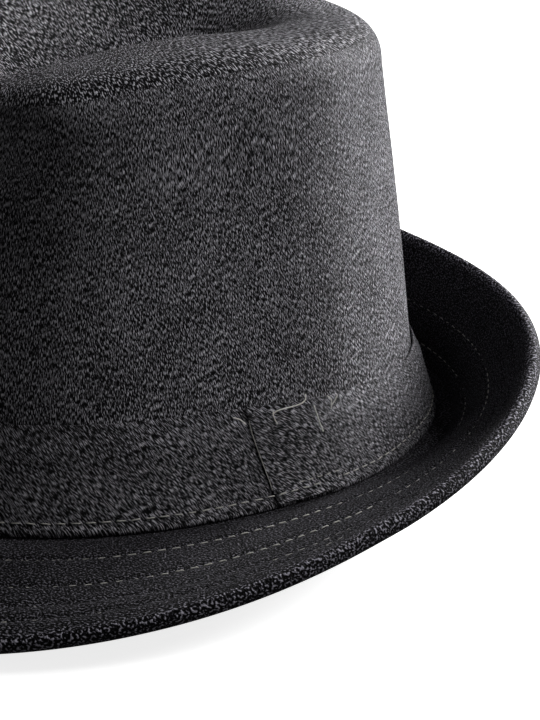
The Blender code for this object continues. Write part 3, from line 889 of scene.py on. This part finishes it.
# %% Satin, twill, buckram and label
def woven(name, tone, other, threads, rough, turn=0.0, coat=0.0, relief=0.3, where="UV"):
    """A fine weave: ribs at a thread spacing in metres, turned by an angle, with uneven yarn."""
    material, tree, shader = new_material(name)
    place = add(tree, "ShaderNodeTexCoord").outputs[where]
    lay = add(tree, "ShaderNodeMapping", {}, Vector=place, Rotation=(0, 0, turn), Scale=(1 / threads,) * 3)
    ribs = add(tree, "ShaderNodeTexWave", {"wave_type": "BANDS"}, Vector=lay.outputs[0], Scale=0.314,
               Distortion=0.6, Detail=1.0)
    slub = add(tree, "ShaderNodeTexNoise", {}, Vector=place, Scale=350.0, Detail=3.0)
    mixed = add(tree, "ShaderNodeMath", {"operation": "MULTIPLY"},
                i0=ribs.outputs["Fac"], i1=slub.outputs["Fac"]).outputs[0]
    shade = add(tree, "ShaderNodeMix", {"data_type": "RGBA"}, i0=mixed, i6=colour(tone), i7=colour(other))
    tree.links.new(shade.outputs[2], shader.inputs["Base Color"])
    bump = add(tree, "ShaderNodeBump", {}, Height=mixed, Strength=relief, Distance=0.0002)
    tree.links.new(bump.outputs["Normal"], shader.inputs["Normal"])
    shader.inputs["Roughness"].default_value = rough
    shader.inputs["Coat Weight"].default_value = coat
    return material


satin = woven("black satin", "141417", "26262B", 0.0004, 0.32, relief=0.15)
shader = satin.node_tree.nodes["Principled BSDF"]
shader.inputs["Anisotropic"].default_value = 0.6
twill = woven("black cotton twill", "18181A", "3A3A3D", 0.0009, 0.8, turn=math.radians(45), relief=0.6)
buckram = woven("sized buckram", "B9B2A0", "DAD4C4", 0.0012, 0.9, where="Object", relief=0.6)
canvas = woven("brim canvas", "A9A08C", "CFC7B2", 0.0010, 0.9, where="Object", relief=0.6)
tape = woven("cotton tape", "161618", "303033", 0.0008, 0.85, where="Object", relief=0.5)
label_weave = woven("blank label satin", "B8B7B2", "DEDDD8", 0.0004, 0.45, relief=0.2)
dress(sweatband, twill)
dress(lining_side, satin)
dress(lining_tip, satin)
dress(label, label_weave)
for node, material in (
    ("side_stiffener", buckram),
    ("tip_stiffener", buckram),
    ("brim_stiffener", canvas),
    ("headline_tape", tape),
):
    dress(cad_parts[node], material)

# %% [markdown]
# ## Cloth, as it was cut
# Every piece here is a sheet that was cut flat and then stretched over the block or the stiffener. The
# straight strips are cut from the hat's own sizes: a height, and the head oval's outline at their depth.
# The shaped pieces have no such rule here, so their cut is read back from the finished piece: the span
# of its UV map in metres, and half the closed mesh's area. That says what was made, and tests nothing.

# %% Flat sizes of the strips
def outline(inset):
    """Length of the head oval, drawn in all round."""
    turn = np.linspace(0, 2 * math.pi, 721)
    return float(np.linalg.norm(np.diff(oval(turn) - oval_out(turn) * inset, axis=0), axis=1).sum())


ON_WALL = BAND_CLOTH + GAP
for piece, under, height, length in (
    (hat_band, "crown_front_panel", BAND_HEIGHT, outline(BAND_CLOTH / 2)),
    (keeper, "hat_band", KEEPER_TOP - KEEPER_FOOT, KEEPER_WIDTH),
    (sweatband, "headline_tape", SWEATBAND_HIGH - SWEATBAND_LOW, outline(ON_WALL + SWEATBAND_DEPTH)),
    (lining_side, "side_stiffener", LINING_HEIGHT - LINING_FOOT, outline(ON_WALL + LINING_DEPTH)),
    (label, "sweatband", LABEL_HIGH - LABEL_LOW, LABEL_WIDTH),
):
    print(piece.name, "strip", round(height / MM), "by", round(length / MM), "mm")

# %% UV maps of the shaped pieces
for piece, under in (
    (crown_front, "side_stiffener"), (crown_back, "side_stiffener"), (crown_tip, "tip_stiffener"),
    (brim_top, "brim_stiffener"), (brim_under, "brim_stiffener"), (lining_tip, "tip_stiffener"),
):
    corners = piece.data.uv_layers["cloth"].data
    spots = np.zeros(len(corners) * 2)
    corners.foreach_get("uv", spots)
    spots = spots.reshape(-1, 2)

# %% [markdown]
# ## Studio
# A flat pale floor, a strong soft light low behind the hat, a weaker one higher at its left rear, a dim
# sky that is brightest at the horizon, and a camera at the hat's left front, a little above it.

# %% Floor and light
bpy.ops.object.select_all(action="DESELECT")
bpy.ops.mesh.primitive_grid_add(x_subdivisions=8, y_subdivisions=8, size=12)
floor = bpy.context.object
floor.name = "studio_floor"
paper, tree, shader = new_material("white paper sweep")
shader.inputs["Base Color"].default_value = colour("F4F4F4")
shader.inputs["Emission Color"].default_value = colour("FFFFFF")
shader.inputs["Emission Strength"].default_value = 0.8
shader.inputs["Roughness"].default_value = 0.9
dress(floor, paper)

# The floor is seen, but it sends no light back to the hat.
floor.visible_diffuse = False
floor.visible_glossy = False

world = bpy.data.worlds.new("studio")
bpy.context.scene.world = world
world.use_nodes = True
tree = world.node_tree
sky = tree.nodes["Background"]
way = add(tree, "ShaderNodeTexCoord").outputs["Generated"]
height = add(tree, "ShaderNodeSeparateXYZ", {}, Vector=way).outputs["Z"]
above = add(tree, "ShaderNodeMapRange", {}, Value=height, From_Min=0.0, From_Max=0.7, To_Min=2.6, To_Max=1.6)
tree.links.new(above.outputs["Result"], sky.inputs["Strength"])


def soft_light(name, place, aim, size, watts):
    bpy.ops.object.light_add(type="AREA", location=place)
    lamp = bpy.context.object
    lamp.name = name
    lamp.data.size = size
    lamp.data.energy = watts
    lamp.rotation_mode = "QUATERNION"
    lamp.rotation_quaternion = (Vector(aim) - Vector(place)).to_track_quat("-Z", "Y")
    return lamp


LAMP_AIM, LAMP_SIZE = (0, 0, 0.06), 0.5
soft_light("key", (-0.220, 1.248, 0.352), LAMP_AIM, LAMP_SIZE, 29)
soft_light("side", (0.560, 0.862, 0.850), LAMP_AIM, LAMP_SIZE, 10)

# %% Camera
eye = Vector((0.5052, -0.3040, 0.2679))
aim = Vector((0.0245, 0.0570, 0.0208))
ROLL = math.radians(1.78)
camera = bpy.data.objects.new("camera", bpy.data.cameras.new("camera"))
bpy.context.collection.objects.link(camera)
camera.location = eye
camera.rotation_mode = "QUATERNION"
camera.rotation_quaternion = (aim - eye).to_track_quat("-Z", "Y") @ Quaternion((0, 0, 1), ROLL)
camera.data.lens = 111.66
camera.data.sensor_width = 36
camera.data.clip_start = 0.01
bpy.context.scene.camera = camera
bpy.context.scene.view_settings.view_transform = "Standard"
